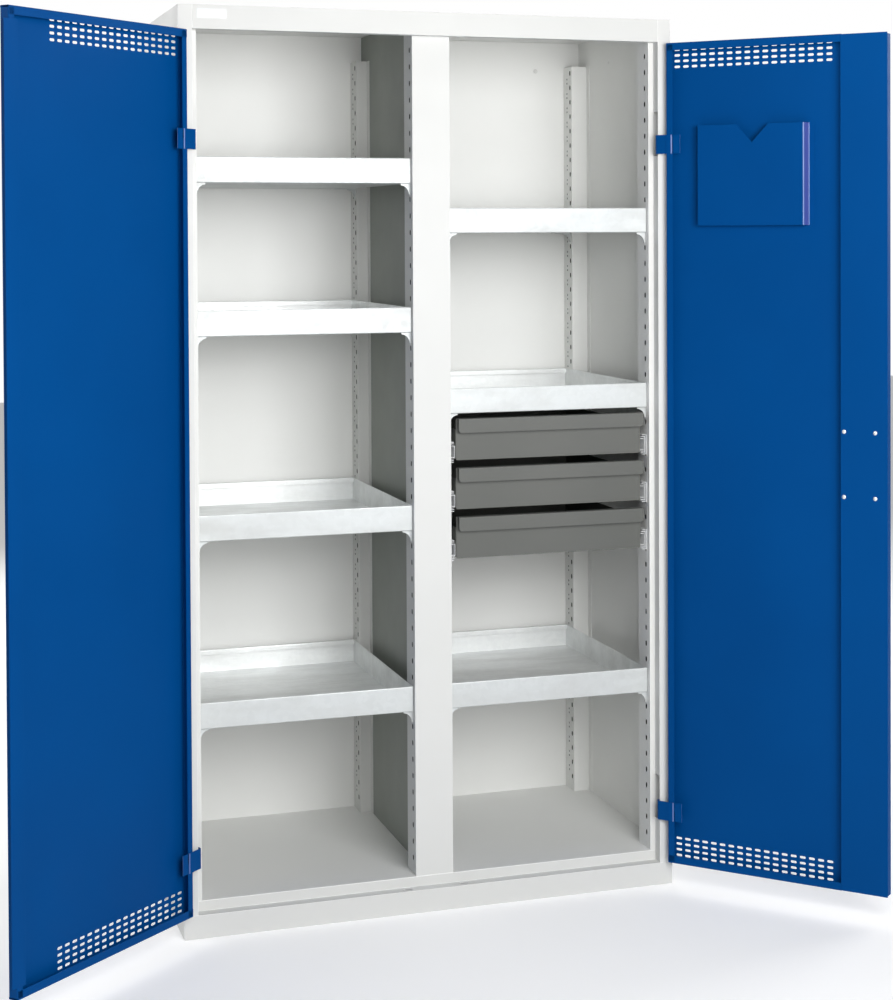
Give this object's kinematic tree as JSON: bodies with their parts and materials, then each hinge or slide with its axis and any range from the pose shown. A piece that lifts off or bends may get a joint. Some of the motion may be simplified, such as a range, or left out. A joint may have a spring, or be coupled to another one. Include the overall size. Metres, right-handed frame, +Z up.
{
  "type": "hazardous materials cabinet",
  "caption": "Tall two-door storage cabinet with perforated doors, hooked spill trays and drawers between slotted uprights.",
  "frame": {"origin": "on the floor at the front face, midway across the width", "axes": "+X to the right seen from the front, +Y back into the cabinet, +Z up"},
  "size_m": [1.8244, 1.0044, 1.95],
  "materials": {
    "carcass_grey": "light grey powder coat",
    "galvanised": "galvanised sheet",
    "drawer_anthracite": "dark grey powder coat",
    "slide_steel": "zinc plated",
    "door_blue": "blue powder coat",
    "hinge_grey": "light grey powder coat",
    "handle_black": "satin black"
  },
  "bodies": {
    "carcass": {"side_panel_left": "carcass_grey", "side_panel_right": "carcass_grey", "back_panel": "carcass_grey", "top_panel": "carcass_grey", "header": "carcass_grey", "sill": "carcass_grey", "floor_panel": "carcass_grey", "centre_post": "carcass_grey", "partition": "carcass_grey", "upright_left_wall_front": "carcass_grey", "upright_left_wall_rear": "carcass_grey", "upright_left_middle_front": "carcass_grey", "upright_left_middle_rear": "carcass_grey", "upright_right_middle_front": "carcass_grey", "upright_right_middle_rear": "carcass_grey", "upright_right_wall_front": "carcass_grey", "upright_right_wall_rear": "carcass_grey", "tray_left_1": "galvanised", "tray_left_2": "galvanised", "tray_left_3": "galvanised", "tray_left_4": "galvanised", "tray_right_1": "galvanised", "tray_right_2": "galvanised", "tray_right_3": "galvanised", "tray_clips_left": "galvanised", "tray_clips_right": "galvanised", "drawer_outer_rails": "slide_steel", "hinge_brackets_left": "hinge_grey", "hinge_brackets_right": "hinge_grey"},
    "door_left": {"door_panel_left": "door_blue", "closing_strip": "door_blue", "hinge_straps_left": "door_blue"},
    "door_right": {"door_panel_right": "door_blue", "lock_box_cover": "door_blue", "document_pocket": "door_blue", "hinge_straps_right": "door_blue", "lock_case": "slide_steel", "rod_guides": "slide_steel", "handle_plate": "handle_black"},
    "lock_handle": {"handle_lever": "handle_black", "lock_cam": "slide_steel"},
    "rod_upper": {"lock_rod_upper": "slide_steel"},
    "rod_lower": {"lock_rod_lower": "slide_steel"},
    "drawer_1": {"drawer_1_box": "drawer_anthracite", "drawer_1_front": "drawer_anthracite", "drawer_1_inner_rails": "slide_steel"},
    "drawer_1_slides": {"drawer_1_middle_rails": "slide_steel"},
    "drawer_2": {"drawer_2_box": "drawer_anthracite", "drawer_2_front": "drawer_anthracite", "drawer_2_inner_rails": "slide_steel"},
    "drawer_2_slides": {"drawer_2_middle_rails": "slide_steel"},
    "drawer_3": {"drawer_3_box": "drawer_anthracite", "drawer_3_front": "drawer_anthracite", "drawer_3_inner_rails": "slide_steel"},
    "drawer_3_slides": {"drawer_3_middle_rails": "slide_steel"}
  },
  "joints": [
    {"name": "door_left_hinge", "type": "hinge", "parent": "carcass", "child": "door_left", "pos_m": [-0.535, 0.0055, 0], "axis": [0, 0, -1], "range_deg": [-137.4, 0]},
    {"name": "door_right_hinge", "type": "hinge", "parent": "carcass", "child": "door_right", "pos_m": [0.535, 0.0055, 0], "axis": [0, 0, 1], "range_deg": [-131.9, 5.5]},
    {"name": "lock_turn", "type": "hinge", "parent": "door_right", "child": "lock_handle", "pos_m": [0.84955, -0.34507, 0.975], "axis": [-0.7443, -0.6678, 0], "range_deg": [0, 90]},
    {"name": "rod_upper_slide", "type": "slide", "parent": "door_right", "child": "rod_upper", "axis": [0, 0, 1], "range_m": [0, 0.0151]},
    {"name": "rod_lower_slide", "type": "slide", "parent": "door_right", "child": "rod_lower", "axis": [0, 0, -1], "range_m": [0, 0.0151]},
    {"name": "drawer_1_slide", "type": "slide", "parent": "carcass", "child": "drawer_1", "axis": [0, -1, 0], "range_m": [0, 0.44]},
    {"name": "drawer_1_middle_slide", "type": "slide", "parent": "carcass", "child": "drawer_1_slides", "axis": [0, -1, 0], "range_m": [0, 0.2201]},
    {"name": "drawer_2_slide", "type": "slide", "parent": "carcass", "child": "drawer_2", "axis": [0, -1, 0], "range_m": [0, 0.44]},
    {"name": "drawer_2_middle_slide", "type": "slide", "parent": "carcass", "child": "drawer_2_slides", "axis": [0, -1, 0], "range_m": [0, 0.2201]},
    {"name": "drawer_3_slide", "type": "slide", "parent": "carcass", "child": "drawer_3", "axis": [0, -1, 0], "range_m": [0, 0.44]},
    {"name": "drawer_3_middle_slide", "type": "slide", "parent": "carcass", "child": "drawer_3_slides", "axis": [0, -1, 0], "range_m": [0, 0.2201]}
  ],
  "couplings": [
    {"joint": "rod_upper_slide", "follows": "lock_turn", "m_per_rad": 0.0095493},
    {"joint": "rod_lower_slide", "follows": "lock_turn", "m_per_rad": 0.0095493},
    {"joint": "drawer_1_middle_slide", "follows": "drawer_1_slide", "ratio": 0.5},
    {"joint": "drawer_2_middle_slide", "follows": "drawer_2_slide", "ratio": 0.5},
    {"joint": "drawer_3_middle_slide", "follows": "drawer_3_slide", "ratio": 0.5}
  ]
}
